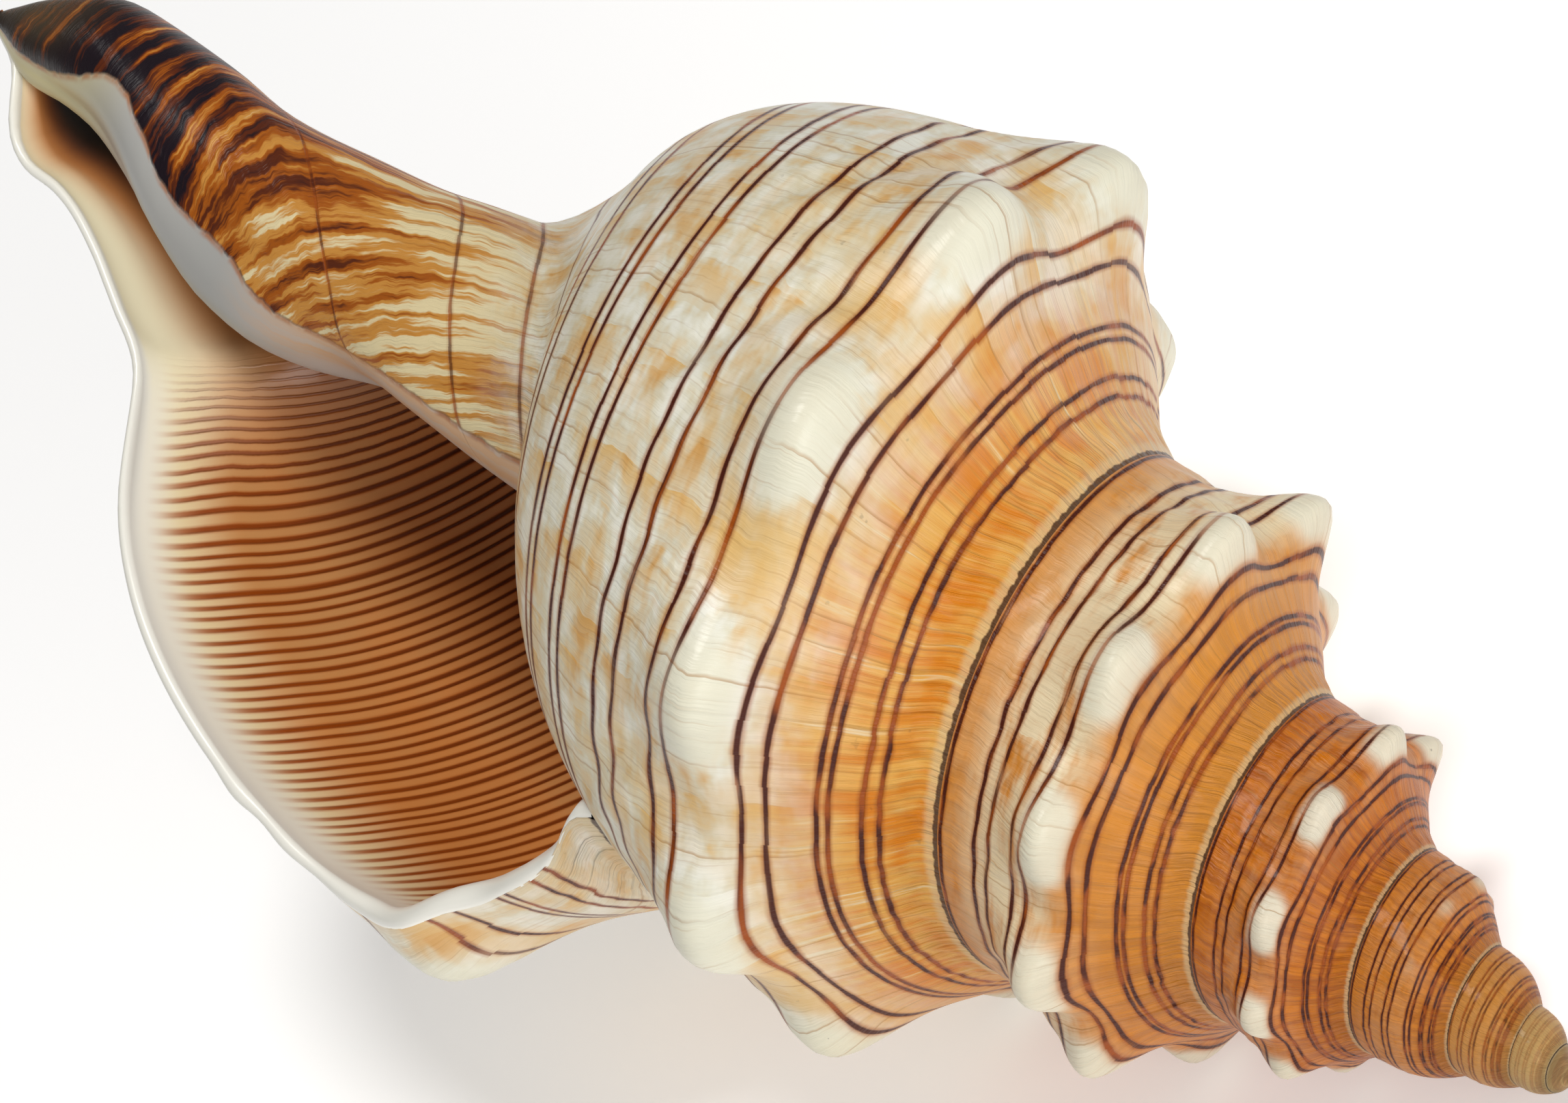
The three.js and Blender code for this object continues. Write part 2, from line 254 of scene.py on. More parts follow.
def stem_radius(growth, depth):
    outer = mix(along(STEM_BACK, depth), along(STEM_LIP, depth), smoothstep(*LIP_FORM, growth))
    forward = smoothstep(*COLUMELLA_DEPTHS, depth)
    low, high = (shift * forward + turn for shift, turn in zip(COLUMELLA_FORWARD, COLUMELLA_TURN))
    front = mix(outer, along(STEM_COLUMELLA, depth), 1 - smoothstep(low, high, growth))
    return mix(front, along(STEM_INSIDE, depth), on_spire(growth))


def body_radius(growth, depth):
    """Radius of the shell without its knobs, at a depth from the apex."""
    scale = scale_at(growth)
    whorl = scale * whorl_radius(growth, depth / scale)
    return smooth_max(whorl, stem_radius(growth, depth), STEM_BLEND)


def grown(growth, radius, depth):
    turn = np.radians(-growth)
    return np.stack([radius * np.cos(turn), radius * np.sin(turn), -depth], -1)


def whorl_knob(growth, level):
    knob, valley = knob_at(growth, level)
    fade = smoothstep(*KNOB_FADE, growth)
    return knob * fade, valley * fade


def wrinkles(growth):
    """Uneven folds along the growth lines, between -1 and 1."""
    wave = sum(height * np.sin(rate * growth + start) for height, rate, start in WRINKLE_WAVES)
    return wave / sum(height for height, _, _ in WRINKLE_WAVES)


def whorl_point(growth, level):
    """Point on the outside of a whorl."""
    scale = scale_at(growth)
    knob, valley = whorl_knob(growth, level)
    depth = scale * (level - KNOB_LEAN * knob)
    plain = np.where(growth < -360, scale * whorl_radius(growth, level),
                     body_radius(growth, scale * level))
    gain = 1 + SPIRE_KNOB_GAIN * on_spire(growth)
    rise = KNOB_HEIGHT * gain * knob - VALLEY_DEPTH * valley
    rise += WRINKLE_HEIGHT * wrinkles(growth) * between(*WRINKLE_LEVELS, level)
    folds = wrinkles(BASE_FOLD_RATE * growth + BASE_FOLD_SLANT * level)
    rise += BASE_FOLD * folds * between(*BASE_FOLD_LEVELS, level)
    return grown(growth, plain + scale * rise, depth)


def inside_radius(growth, depth, wall):
    """Radius of the wall's inner face."""
    limits = [body_radius(growth, depth + f * wall) - wall * np.sqrt(1 - f * f)
              for f in WALL_PROBES]
    return np.minimum.reduce(limits)


def within_solid(points):
    """Ease the farthest points back, so that none lies outside the solid's box."""
    low, high = np.array(CAD_BOX) * 1000
    over = np.maximum(points - (high - EASE), 0)
    under = np.maximum(low + EASE - points, 0)
    under[:, 2] = 0
    eased = points - over + EASE * (1 - np.exp(-over / EASE))
    eased += under - EASE * (1 - np.exp(-under / EASE))
    eased[:, 2] = np.maximum(eased[:, 2], FLOOR_GAP)
    return eased


def lay_down(points):
    """Turn from the growing frame, apex up, to the resting pose, in metres."""
    x, y, z = points[:, 2], -points[:, 0], -points[:, 1]
    roll, pitch = np.radians(ROLL), np.radians(PITCH)
    y, z = y * np.cos(roll) - z * np.sin(roll), y * np.sin(roll) + z * np.cos(roll)
    x, z = x * np.cos(pitch) + z * np.sin(pitch), -x * np.sin(pitch) + z * np.cos(pitch)
    rested = np.stack([x, y, z], -1) + np.array(REST_SHIFT)
    return within_solid(rested) / 1000


def age_at(growth, depth):
    """Growth angle of the lip edge that a point was part of."""
    canal = 360 * np.log(np.maximum(depth, 1) / TIP_DEPTH) / np.log(WHORL_RATIO)
    sweep = mix(OLD_SWEEP, 1, smoothstep(*SWEEP_FORM, growth))
    whorl = growth - sweep * along(LIP_EDGE, depth / scale_at(growth))
    behind = smooth_max(STEM_TURN - np.maximum(growth, -360), 0, TURN_EASE)
    below = smooth_max(depth - STEM_START, 0, START_EASE)
    return smooth_max(whorl + STEM_SLANT * behind * below, canal - CANAL_LAG, AGE_EASE)


def stretch_at(growth, depth):
    """Millimetres of surface for each unit of level."""
    scale = scale_at(growth)
    reach = STRETCH_PROBE * scale
    rise = body_radius(growth, depth + reach) - body_radius(growth, depth - reach)
    return scale * np.hypot(1, rise / (2 * STRETCH_PROBE * scale))


# Meshes. Steps between columns are growth angles, and ROW_OVERLAP is in levels.
APEX_STEP = 4
MIDDLE_STEP = 2.4
INNER_STEP = 1.5
LAST_COLUMNS = 401
SPIRE_ROWS = 50
ROW_CROWDING = 2
ROW_OVERLAP = (0.4, 0.5)
BASE_START = -560
BASE_ROWS = 74
BASE_KNOB_END = 1.3
COVERED_DEPTH = 1.5
CALLUS_RANGE = (-5, 12)
LEAST_RADIUS = 3
MOUTH_START = -300
MOUTH_COLUMNS = 240
MOUTH_ROWS = 110
THIN_LIP = (0.95, 0.55)
THIN_LIP_LEVELS = (100, 112)
THIN_LIP_TURN = 20
RIM_STEPS = 12
RIM_BULGE = 0.45


def grid_faces(columns, rows):
    """Quads between the points of a grid, as four corner indices each."""
    i, row = np.meshgrid(np.arange(columns - 1), np.arange(rows - 1), indexing="ij")
    a = (i * rows + row).ravel()
    return np.stack([a, a + rows, a + rows + 1, a + 1], -1)


def make_piece(name, points, faces, values):
    """Mesh object with its values stored on its points."""
    mesh = bpy.data.meshes.new(name)
    mesh.from_pydata(points.tolist(), [], faces)
    for key, data in values.items():
        attribute = mesh.attributes.new(key, "FLOAT", "POINT")
        attribute.data.foreach_set("value", np.asarray(data, np.float32).ravel())
    mesh.shade_smooth()
    mesh.update()
    piece = bpy.data.objects.new(name, mesh)
    bpy.context.scene.collection.objects.link(piece)
    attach(piece, "root")
    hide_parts("shell")
    return piece


def growth_columns():
    """Growth angles of the mesh's columns, closer together towards the lip."""
    return np.concatenate([
        np.arange(-360 * WHORL_COUNT, -1080, APEX_STEP),
        np.arange(-1080, -720, MIDDLE_STEP),
        np.arange(-720, -360, INNER_STEP),
        np.linspace(-360, 0, LAST_COLUMNS),
    ])


def spire_levels():
    """Levels of a whorl's rows, from just above its suture to just under the next one."""
    f = np.linspace(0, 1, SPIRE_ROWS)
    above, under = ROW_OVERLAP
    even = mix(SUTURE_LEVEL - above, LAST_LEVEL + under, f)
    return even - ROW_CROWDING * np.sin(2 * np.pi * f)


def lip_swept(growth, level):
    """Growth angles moved forward to the lip's edge."""
    return growth + along(LIP_EDGE, level) * smoothstep(*LIP_REACH, growth)


def spire_grid(columns, levels):
    """Points, growth, depth and knobs of the whorls, from suture to suture."""
    growth, level = np.meshgrid(columns, levels, indexing="ij")
    growth = lip_swept(growth, level)
    knob, _ = whorl_knob(growth, level)
    return whorl_point(growth, level), growth, scale_at(growth) * level, knob


def base_grid(columns, last_level):
    """The same of the base, from the whorls' last row to the tip of the canal."""
    f = np.linspace(0, 1, BASE_ROWS)
    row_place = mix(f, 1 - (1 - f) ** 2, smoothstep(0.4, 1, f))
    growth, place = np.meshgrid(columns, row_place, indexing="ij")
    start = scale_at(growth) * last_level
    depth = mix(start, TIP_DEPTH, place)
    radius = body_radius(growth, depth)
    under = body_radius(growth + 360, depth) - COVERED_DEPTH
    radius = np.where(growth < -360, np.minimum(radius, np.maximum(under, 0)), radius)
    knob, _ = whorl_knob(growth, depth / scale_at(growth))
    knob = np.where(depth < start * BASE_KNOB_END, knob, 0)
    return grown(growth, radius, depth), growth, depth, knob


def apex_cap(apex):
    """Triangles between the apex and the first turn's open edge."""
    turn_columns = 360 // APEX_STEP + 1
    rim = list(range(0, turn_columns * SPIRE_ROWS, SPIRE_ROWS))
    rim += list(range(SPIRE_ROWS - 1, 0, -1))
    return [[apex, rim[(k + 1) % len(rim)], rim[k]] for k in range(len(rim))]


def callus_at(growth, depth):
    """Distance inside the callus border, or the least value on the whorls themselves."""
    low, high = CALLUS_RANGE
    across = np.radians(along(CALLUS_EDGE, depth) - growth)
    across = across * np.maximum(body_radius(growth, depth), LEAST_RADIUS)
    on_whorl = depth / scale_at(growth) < LAST_LEVEL + 0.2
    return np.where(on_whorl, low, np.clip(across, low, high))


def outside_piece():
    """Outside of the whole shell, from the apex to the tip of the canal."""
    columns, levels = growth_columns(), spire_levels()
    base_columns = columns[columns >= BASE_START]
    grids = spire_grid(columns, levels), base_grid(base_columns, levels[-1])
    points = np.concatenate([grid[0].reshape(-1, 3) for grid in grids])
    growth, depth, knob = (
        np.concatenate([grid[k].ravel() for grid in grids]) for k in (1, 2, 3))
    faces = np.concatenate([
        grid_faces(len(columns), SPIRE_ROWS),
        grid_faces(len(base_columns), BASE_ROWS) + len(columns) * SPIRE_ROWS,
    ])
    cap = apex_cap(len(points))
    points = np.concatenate([points, [[0, 0, points[0, 2] + APEX_DOME]]])
    growth = np.append(growth, growth[0])
    depth = np.append(depth, KNOB_LEVEL * scale_at(growth[-1]))
    knob = np.append(knob, 0)
    values = {
        "growth": growth, "level": depth / scale_at(growth), "depth": depth, "knob": knob,
        "age": age_at(growth, depth), "callus": callus_at(growth, depth),
        "stretch": stretch_at(growth, depth),
    }
    return make_piece("shell_outside", lay_down(points), faces.tolist() + cap, values)


def lip_rim(growth, depth, into):
    """Half circles from the outside's last column round to the inner face's last column."""
    out = whorl_point(growth, depth / scale_at(growth))
    turn = np.radians(-growth)
    ahead = np.stack([np.sin(turn), -np.cos(turn), np.zeros_like(turn)], -1)
    gap = np.linalg.norm(out - into, axis=-1, keepdims=True)
    rim = []
    for k in range(1, RIM_STEPS + 1):
        phi = np.pi * k / RIM_STEPS
        straight = (out + into) / 2 - (out - into) / 2 * np.cos(phi)
        rim.append(straight + ahead * gap * RIM_BULGE * np.sin(phi))
    return np.array(rim)


def mouth_piece():
    """Inner face of the outer wall and the rounded rim of the lip."""
    f = np.linspace(0, 1, MOUTH_ROWS)
    levels = mix(SUTURE_LEVEL, TIP_DEPTH, f)
    columns = np.linspace(MOUTH_START, 0, MOUTH_COLUMNS)
    growth, level = np.meshgrid(columns, levels, indexing="ij")
    from_lip = -growth
    growth = lip_swept(growth, level)
    scale = scale_at(growth)
    depth = mix(scale * SUTURE_LEVEL, TIP_DEPTH, f[None, :])
    thick = mix(WALL * scale, STEM_WALL, smoothstep(*STEM_WALL_LEVELS, depth / scale))
    thin = mix(*THIN_LIP, smoothstep(*THIN_LIP_LEVELS, level))
    thick = thick * mix(thin, 1, smoothstep(0, THIN_LIP_TURN, from_lip))
    inner = grown(growth, inside_radius(growth, depth, thick), depth)
    points = np.concatenate([inner, lip_rim(growth[-1], depth[-1], inner[-1])])

    # the rim's points keep the growth and depth of the lip's edge
    growth = np.concatenate([growth, np.repeat(growth[-1:], RIM_STEPS, 0)])
    depth = np.concatenate([depth, np.repeat(depth[-1:], RIM_STEPS, 0)])
    inward = np.concatenate([from_lip, np.full((RIM_STEPS, MOUTH_ROWS), -1.0)])
    rim_place = np.concatenate([np.zeros(MOUTH_COLUMNS), np.linspace(0, 1, RIM_STEPS)])
    level = depth / scale_at(growth)
    profile = np.diff(along(WHORL_OUTLINE, levels), prepend=WHORL_OUTLINE[0][1])
    arc = np.cumsum(np.hypot(profile, np.diff(levels, prepend=levels[0])))
    values = {
        "level": level, "depth": depth, "inward": inward,
        "rim": np.repeat(rim_place[:, None], MOUTH_ROWS, 1), "arc": np.interp(level, levels, arc),
    }
    faces = grid_faces(MOUTH_COLUMNS + RIM_STEPS, MOUTH_ROWS)[:, ::-1].tolist()
    return make_piece("shell_mouth", lay_down(points.reshape(-1, 3)), faces, values)


# Materials


def linear(code):
    """Linear colour from a screen colour's hex code."""
    channels = [int(code[k:k + 2], 16) / 255 for k in (0, 2, 4)]
    light = [c / 12.92 if c <= 0.04045 else ((c + 0.055) / 1.055) ** 2.4 for c in channels]
    return (*light, 1.0)


class Paint:
    """Short names for the nodes of one material."""

    def __init__(self, name):
        self.material = bpy.data.materials.new(name)
        self.material.use_nodes = True
        self.tree = self.material.node_tree
        self.shader = self.tree.nodes["Principled BSDF"]

    def put(self, socket, value):
        if isinstance(value, bpy.types.NodeSocket):
            self.tree.links.new(value, socket)
        else:
            socket.default_value = value

    def shade(self, settings):
        """Set the shader's own sockets, or link them."""
        for name, value in settings.items():
            self.put(self.shader.inputs[name], value)
        return self.material

    def value(self, name):
        """A value stored on the mesh's points."""
        node = self.tree.nodes.new("ShaderNodeAttribute")
        node.attribute_name = name
        return node.outputs["Fac"]

    def math(self, operation, *values):
        node = self.tree.nodes.new("ShaderNodeMath")
        node.operation = operation
        for socket, value in zip(node.inputs, values):
            self.put(socket, value)
        return node.outputs[0]

    def add(self, a, b):
        return self.math("ADD", a, b)

    def sub(self, a, b):
        return self.math("SUBTRACT", a, b)

    def mul(self, a, b):
        return self.math("MULTIPLY", a, b)

    def step(self, low, high, x, start=0.0, end=1.0):
        """Smooth step from start at low to end at high, where low may be the larger."""
        node = self.tree.nodes.new("ShaderNodeMapRange")
        node.interpolation_type = "SMOOTHSTEP"
        if low > high:
            low, high, start, end = high, low, end, start
        for socket, value in zip(node.inputs[:5], (x, low, high, start, end)):
            self.put(socket, value)
        return node.outputs[0]

    def between(self, rise, fall, x):
        """1 between two ranges, rising over the first and falling over the second."""
        return self.mul(self.step(*rise, x), self.step(*fall, x))

    def place(self, x=0.0, y=0.0, z=0.0):
        node = self.tree.nodes.new("ShaderNodeCombineXYZ")
        for socket, value in zip(node.inputs, (x, y, z)):
            self.put(socket, value)
        return node.outputs[0]

    def noise(self, where, scale=1.0, detail=2.0, rough=0.5):
        node = self.tree.nodes.new("ShaderNodeTexNoise")
        self.put(node.inputs["Vector"], where)
        self.put(node.inputs["Scale"], scale)
        node.inputs["Detail"].default_value = detail
        node.inputs["Roughness"].default_value = rough
        return node.outputs["Fac"]

    def grain(self, *rates, seed=0.0, detail=2.0, rough=0.5):
        """Noise over one or two values, each given with its rate."""
        axes = [self.mul(value, rate) for value, rate in rates]
        return self.noise(self.place(*axes, seed), 1.0, detail, rough)

    def mix(self, factor, a, b):
        """Mix of two colours, given as hex codes or sockets."""
        node = self.tree.nodes.new("ShaderNodeMix")
        node.data_type = "RGBA"
        colours = [s for s in node.inputs if s.type == "RGBA"]
        self.put(node.inputs[0], factor)
        for socket, value in zip(colours, (a, b)):
            self.put(socket, linear(value) if isinstance(value, str) else value)
        return [s for s in node.outputs if s.type == "RGBA"][0]

    def mix_value(self, share, a, b):
        return self.add(self.mul(a, 1 - share), self.mul(b, share))

    def bump(self, height, distance, strength):
        node = self.tree.nodes.new("ShaderNodeBump")
        node.inputs["Distance"].default_value = distance
        node.inputs["Strength"].default_value = strength
        self.put(node.inputs["Height"], height)
        return node.outputs["Normal"]

    def object_place(self):
        node = self.tree.nodes.new("ShaderNodeTexCoord")
        return node.outputs["Object"]


# Colours of the outside
CREAM = "DDD8C2"
WHITE = "EDECE0"
TAN = "DDB168"
BROWN_TAN = "CC8630"
SOFT_TAN = "DCC48C"
RAMP_LIGHT = "DEA650"
RAMP_ORANGE = "D27A10"
SPIRE_ORANGE = "C87006"
SPIRE_BROWN = "A45202"
SPIRE_YELLOW = "DE9E40"
SPIRE_CREAM = "E4D4B0"
HIGH_TAN = "D08C38"
APEX_TAN = "CCAA70"
KNOB_WHITE = "E9E6D4"
KNOB_GREY = "DAD6BC"
LINE_EDGE = "9C4A0E"
LINE_DARK = "481808"
SCAR = "A87534"
SPECK = "33261C"
# Dark brown of the painted shadow in the suture's crease
SUTURE_SHADOW = "3E1A08"
BORDER = "DCC79A"
STEM_CREAM = "E6D5A8"
STEM_OLIVE = "5A4B30"
CALLUS_LIGHT = "BAB9B4"
CALLUS_GREY = "A6A5A2"
CALLUS_TIP = "CDC296"
CALLUS_LOWER = "CAC4BE"
CALLUS_FLESH = "D6AC84"
CALLUS_RIM = "A8622A"

# Colours of the mouth
FLESH_WHITE = "FFFAEA"
FLESH_CREAM = "F8E4B4"
FLESH = "D89A5E"
FLESH_CLOUD = "E48A40"
FLESH_DEEP = "C8622A"
RIDGE_HALO = "B8560F"
RIDGE_OUTER = "9A4408"
RIDGE_DEEP = "3E120A"
CANAL_CREAM = "F8EECC"
CANAL_FLESH = "CC8C54"
# Blue-black painted shade, deep in the canal towards its tip
CANAL_TIP_SHADE = "24262C"
RIM_WHITE = "F2F0E6"

# Tones of the band noise at which each colour of the stem comes in
STEM_BANDS = (
    (0.40, 0.47, "CC8E40"), (0.50, 0.57, "A45612"), (0.58, 0.66, "5A260E"), (0.67, 0.76, "1A1018"),
)
# Growth angles inward from the lip at which the canal's darker colours come in: first its own
# brown, then a dark grey-brown painted shade deeper in the canal
CANAL_BROWN_AND_SHADE = ((22, 50, "98562A"), (42, 80, "46302A"))

# Levels between which something lies: where it comes in, and where it ends
SHOULDER = ((92, 97), (112, 104))
KNOB_BELT = ((95.5, 98), (107.5, 103.5))
NEAR_KNOBS = ((90, 97), (126, 112))
# Levels over which the mouth's ridges end towards the canal
RIDGE_END = (153, 147)

# Depth in metres and strength of each bump
OUTSIDE_BUMP = (0.0006, 0.9)
MOUTH_BUMP = (0.0003, 0.6)

# Level and half the gap of each pair of spiral lines. A gap of 0 is a single line.
LINE_PAIRS = (
    (85.6, 0.72), (89.55, 0.48), (95.3, 1.05), (105.9, 1.6), (116.5, 1.8), (127.45, 1.05),
    (134.65, 0.85), (143, 0.9), (150.5, 0), (156.5, 0), (168.3, 0), (193, 0),
)
LINE_HALF_WIDTH = 0.21
SMALL_LINE_HALF_WIDTH = 0.08

# Widths of growth bands, in growth angle
BODY_BAND = 7.5
STAIN_BAND = 19.0
SPIRE_BAND = 13.0
LINE_BAND = 5.5
SCAR_BAND = 4.2


class Surface:
    """The values stored on the outside's points, as sockets."""

    def __init__(self, p):
        for name in ("growth", "level", "depth", "knob", "age", "callus", "stretch"):
            setattr(self, name, p.value(name))
        self.where = p.object_place()
        self.soft = p.noise(self.where, 45.0, 3.0)
        self.spire = p.step(-340, -400, self.growth)
        wave = p.grain((self.level, 0.24), (self.growth, 0.03), seed=3.0)
        on_body = p.step(92, 102, self.level, 0.6, 2.4)
        on_stem = p.step(148, 160, self.level, 0.0, 1.4)
        self.age = p.add(self.age, p.mul(p.sub(wave, 0.5), p.add(on_body, on_stem)))


def growth_bands(p, s, period, seed):
    """Tone of each growth band, the place across the band, and the band's number."""
    warp = p.grain((s.level, 0.14), seed=seed, detail=1.5)
    count = p.add(p.mul(s.age, 1 / period), p.mul(warp, 0.45))
    index = p.math("FLOOR", count)
    stepped = p.grain((index, 3.71), (s.level, 0.13), seed=seed, detail=1.0)
    flowing = p.grain((count, 0.9), (s.level, 0.2), seed=seed, detail=3.0, rough=0.6)
    return p.mix_value(0.7, stepped, flowing), p.math("FRACT", count), index


def streaks(p, s, rate, seed, detail=3.0):
    """Noise drawn out along the growth lines."""
    return p.grain((s.age, rate), (s.level, 0.05), seed=seed, detail=detail, rough=0.6)


def body_colour(p, s):
    tone, across, _ = growth_bands(p, s, BODY_BAND, 1.0)
    broad, wide, _ = growth_bands(p, s, STAIN_BAND, 5.0)
    blotch = p.mul(p.step(0.47, 0.62, tone), p.add(0.35, p.mul(across, 0.65)))
    stain = p.mul(p.step(0.48, 0.60, broad), p.add(0.45, p.mul(wide, 0.5)))
    colour = p.mix(p.mul(p.step(0.52, 0.40, tone), 0.9), CREAM, WHITE)
    colour = p.mix(p.mul(blotch, 0.9), colour, TAN)
    colour = p.mix(p.mul(stain, 0.65), colour, TAN)
    colour = p.mix(p.mul(p.mul(blotch, stain), 0.8), colour, BROWN_TAN)
    valley = p.mul(p.between(*SHOULDER, s.level), p.step(0.35, 0.1, s.knob))
    colour = p.mix(p.mul(valley, p.step(0.38, 0.55, s.soft, 0.2, 0.75)), colour, TAN)
    return p.mix(p.mul(p.step(0.46, 0.64, s.soft), 0.3), colour, SOFT_TAN)


def ramp_colour(p, s):
    fine = streaks(p, s, 0.42, 2.0)
    patch = p.grain((s.age, 0.06), (s.level, 0.2), seed=15.0)
    colour = p.mix(p.step(0.40, 0.62, p.mix_value(0.45, fine, patch)), RAMP_LIGHT, RAMP_ORANGE)
    return p.mix(p.mul(p.step(0.41, 0.31, fine), 0.7), colour, SPIRE_CREAM)


def spire_colour(p, s):
    tone, _, _ = growth_bands(p, s, SPIRE_BAND, 3.0)
    fine = streaks(p, s, 0.3, 4.0)
    warm = p.mix(p.step(0.35, 0.68, fine), SPIRE_ORANGE, SPIRE_BROWN)
    warm = p.mix(p.step(-860, -560, s.growth, 0.0, 0.5), warm, SPIRE_YELLOW)
    base_side = p.mul(p.step(96, 103, s.level), p.step(-800, -640, s.growth))
    lifted = p.add(tone, p.mul(base_side, 0.06))
    pale = p.mul(p.step(0.34, 0.60, lifted), p.add(0.15, p.mul(base_side, 0.8)))
    pale = p.mul(pale, p.add(0.15, p.mul(p.between(*NEAR_KNOBS, s.level), 0.85)))
    colour = p.mix(p.math("MINIMUM", pale, 1.0), warm, SPIRE_CREAM)
    # the whorls turn tan over three turns, so that no suture shows a hard change
    colour = p.mix(p.mul(p.step(-900, -2000, s.growth), 0.75), colour, HIGH_TAN)
    return p.mix(p.step(-1500, -2300, s.growth), colour, APEX_TAN)


def knob_colour(p, s, colour):
    """White on the knobs, apart from those nearest to the apex."""
    ragged = p.mul(p.sub(s.soft, 0.5), 0.3)
    top = p.sub(p.add(s.knob, ragged), p.mul(p.sub(1.0, s.spire), 0.1))
    white = p.mul(p.step(0.12, 0.5, top), p.between(*KNOB_BELT, s.level))
    white = p.mul(white, p.sub(0.95, p.mul(s.spire, 0.1)))
    white = p.mul(white, p.step(-1900, -1500, s.growth))
    return p.mix(white, colour, p.mix(s.soft, KNOB_WHITE, KNOB_GREY))


def line_distance(p, s):
    """Distance to the nearest spiral line, in half line widths."""
    _, across, index = growth_bands(p, s, LINE_BAND, 8.0)
    jog = p.sub(p.grain((index, 2.37), (s.level, 0.09), seed=6.0, detail=1.0), 0.5)
    slant = p.sub(p.grain((index, 1.91), seed=4.0, detail=1.0), 0.5)
    sway = p.sub(p.grain((s.growth, 0.03), (s.level, 0.05)), 0.5)
    drawn = p.add(p.add(s.level, p.mul(sway, 0.9)), p.mul(jog, 0.4))
    drawn = p.add(drawn, p.mul(slant, p.mul(across, 0.4)))
    nearest = None
    for centre, half_gap in LINE_PAIRS:
        away = p.math("ABSOLUTE", p.sub(drawn, centre))
        if half_gap:
            away = p.math("ABSOLUTE", p.sub(away, half_gap))
        nearest = away if nearest is None else p.math("MINIMUM", nearest, away)
    swell = p.grain((s.growth, 0.15), (s.level, 0.3))
    width = p.step(-360, -1400, s.growth, LINE_HALF_WIDTH, SMALL_LINE_HALF_WIDTH)
    width = p.mul(width, p.add(0.55, p.mul(swell, 0.95)))
    return p.math("DIVIDE", p.mul(nearest, s.stretch), width)


def draw_lines(p, s, colour):
    """Spiral lines with softer edges, and the mask of their middles."""
    ratio = line_distance(p, s)
    core = p.step(1.25, 0.55, ratio)
    edge = p.step(2.7, 0.9, ratio)
    tone = p.grain((s.growth, 0.07), (s.level, 0.4), seed=2.0)
    on_knob = p.step(0.45, 0.85, s.knob)
    worn = p.step(0.28, 0.46, p.grain((s.growth, 0.05), (s.level, 0.5), seed=9.0))
    strength = p.mul(p.add(0.45, p.mul(worn, 0.55)), p.sub(1.0, p.mul(on_knob, 0.6)))
    strength = p.mul(strength, p.step(-2050, -1300, s.growth, 0.1, 1.0))
    strength = p.mul(strength, p.step(147, 156, s.level, 1.0, 0.5))
    ramp = p.mul(p.step(94, 86, s.level), 0.1)
    tone = p.sub(p.sub(tone, ramp), p.mul(p.sub(1.0, strength), 0.2))
    dark = p.mix(p.step(0.32, 0.50, tone), LINE_EDGE, LINE_DARK)
    colour = p.mix(p.mul(edge, p.mul(strength, 0.6)), colour, LINE_EDGE)
    core = p.mul(core, p.math("POWER", strength, 0.5))
    return p.mix(core, colour, dark), core


def draw_scars(p, s, colour):
    """Thin growth lines and dark specks, most of them on the knobs, and the place across."""
    _, across, index = growth_bands(p, s, SCAR_BAND, 11.0)
    chance = p.grain((index, 3.71), (s.level, 0.03))
    scar = p.mul(p.step(0.14, 0.02, across), p.step(0.48, 0.62, chance))
    colour = p.mix(p.mul(scar, 0.55), colour, SCAR)
    thin = p.step(0.60, 0.68, streaks(p, s, 1.3, 6.0, 2.0))
    colour = p.mix(p.mul(thin, 0.22), colour, SCAR)
    speck = p.step(0.70, 0.76, p.noise(s.where, 900.0, 2.0, 0.6))
    speck = p.mul(speck, p.mul(p.step(0.50, 0.6, s.soft), p.add(0.25, s.knob)))
    return p.mix(p.mul(speck, 0.8), colour, SPECK), across


def stem_colour(p, s, colour):
    """Brown bands on cream, darker towards the tip of the canal and beside the callus."""
    band = p.grain((s.age, 0.22), (s.level, 0.03), seed=7.7, detail=4.0, rough=0.62)
    toward_tip = p.step(122, 172, s.depth)
    beside_callus = p.mul(p.step(-5, -0.5, s.callus), p.step(136, 156, s.depth))
    tone = p.add(band, p.add(p.mul(toward_tip, 0.23), p.mul(beside_callus, 0.1)))
    tone = p.sub(tone, p.step(112, 140, s.depth, 0.07, 0.03))
    stem = STEM_CREAM
    for low, high, band_colour in STEM_BANDS:
        stem = p.mix(p.step(low, high, tone), stem, band_colour)
    olive = p.mul(p.step(166, 178, s.depth), p.sub(0.7, p.mul(beside_callus, 0.5)))
    stem = p.mix(olive, stem, STEM_OLIVE)
    return p.mix(p.step(150, 166, s.level), colour, stem)


# Pale crinkled border below the suture, the shell's own colour, and a thin dark line of painted
# shadow in the suture's crease.
def suture_border_and_shadow(p, s, colour):
    crinkle = p.grain((s.growth, 0.45), (s.level, 0.3), seed=4.0, detail=3.0)
    border = p.step(81.2, 80.3, p.add(s.level, p.mul(crinkle, 1.2)))
    colour = p.mix(p.mul(border, 0.5), colour, BORDER)
    # painted shadow: a thin dark crinkled line laid in the crease where the next whorl meets this
    # one
    seam = p.step(79.3, 79.05, p.add(s.level, p.mul(p.sub(crinkle, 0.5), 0.9)))
    return p.mix(p.mul(seam, 0.9), colour, SUTURE_SHADOW)


